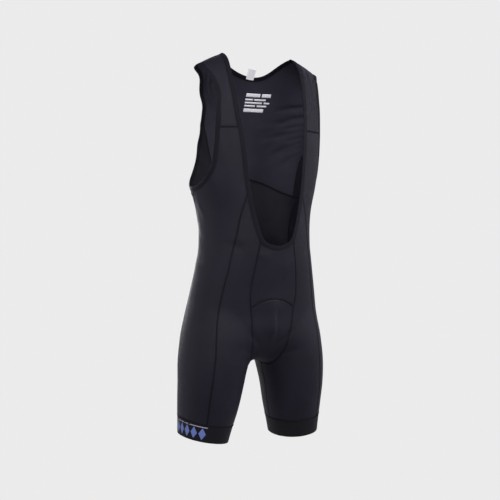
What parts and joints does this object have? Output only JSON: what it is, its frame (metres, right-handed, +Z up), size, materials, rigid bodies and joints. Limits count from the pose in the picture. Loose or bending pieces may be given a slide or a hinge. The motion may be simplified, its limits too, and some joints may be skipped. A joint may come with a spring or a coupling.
{
  "type": "cycling bib shorts",
  "caption": "Close-fitting sleeveless bib shorts for cycling with a low scooped front, a high back, wide straps and banded leg ends, in the shape they have when worn",
  "frame": {"origin": "between the shoulders, level with the neck ends of the straps, where the wearer's shoulders hold it up", "axes": "+Z up, -Y the front, +X the wearer's left"},
  "size_m": [0.3544, 0.2222, 0.8756],
  "materials": {
    "panel_cloth": "soft satin knit",
    "back_cloth": "fine matt knit",
    "insert_cloth": "matt knit",
    "band_cloth": "matt elastic knit",
    "binding_cloth": "matt elastic tape",
    "tag_cloth": "woven tape"
  },
  "bodies": {
    "root": {"yoke_R": "panel_cloth", "yoke_L": "panel_cloth", "side_panel_R": "panel_cloth", "side_panel_L": "panel_cloth", "front_panel_R": "panel_cloth", "front_panel_L": "panel_cloth", "centre_front": "panel_cloth", "gusset": "panel_cloth", "back_mesh": "back_cloth", "underarm_R": "insert_cloth", "underarm_L": "insert_cloth", "seat_R": "panel_cloth", "seat_L": "panel_cloth", "band_R": "band_cloth", "band_L": "band_cloth", "neck_binding": "binding_cloth", "arm_binding_R": "binding_cloth", "arm_binding_L": "binding_cloth", "neck_tag": "tag_cloth"}
  },
  "joints": []
}
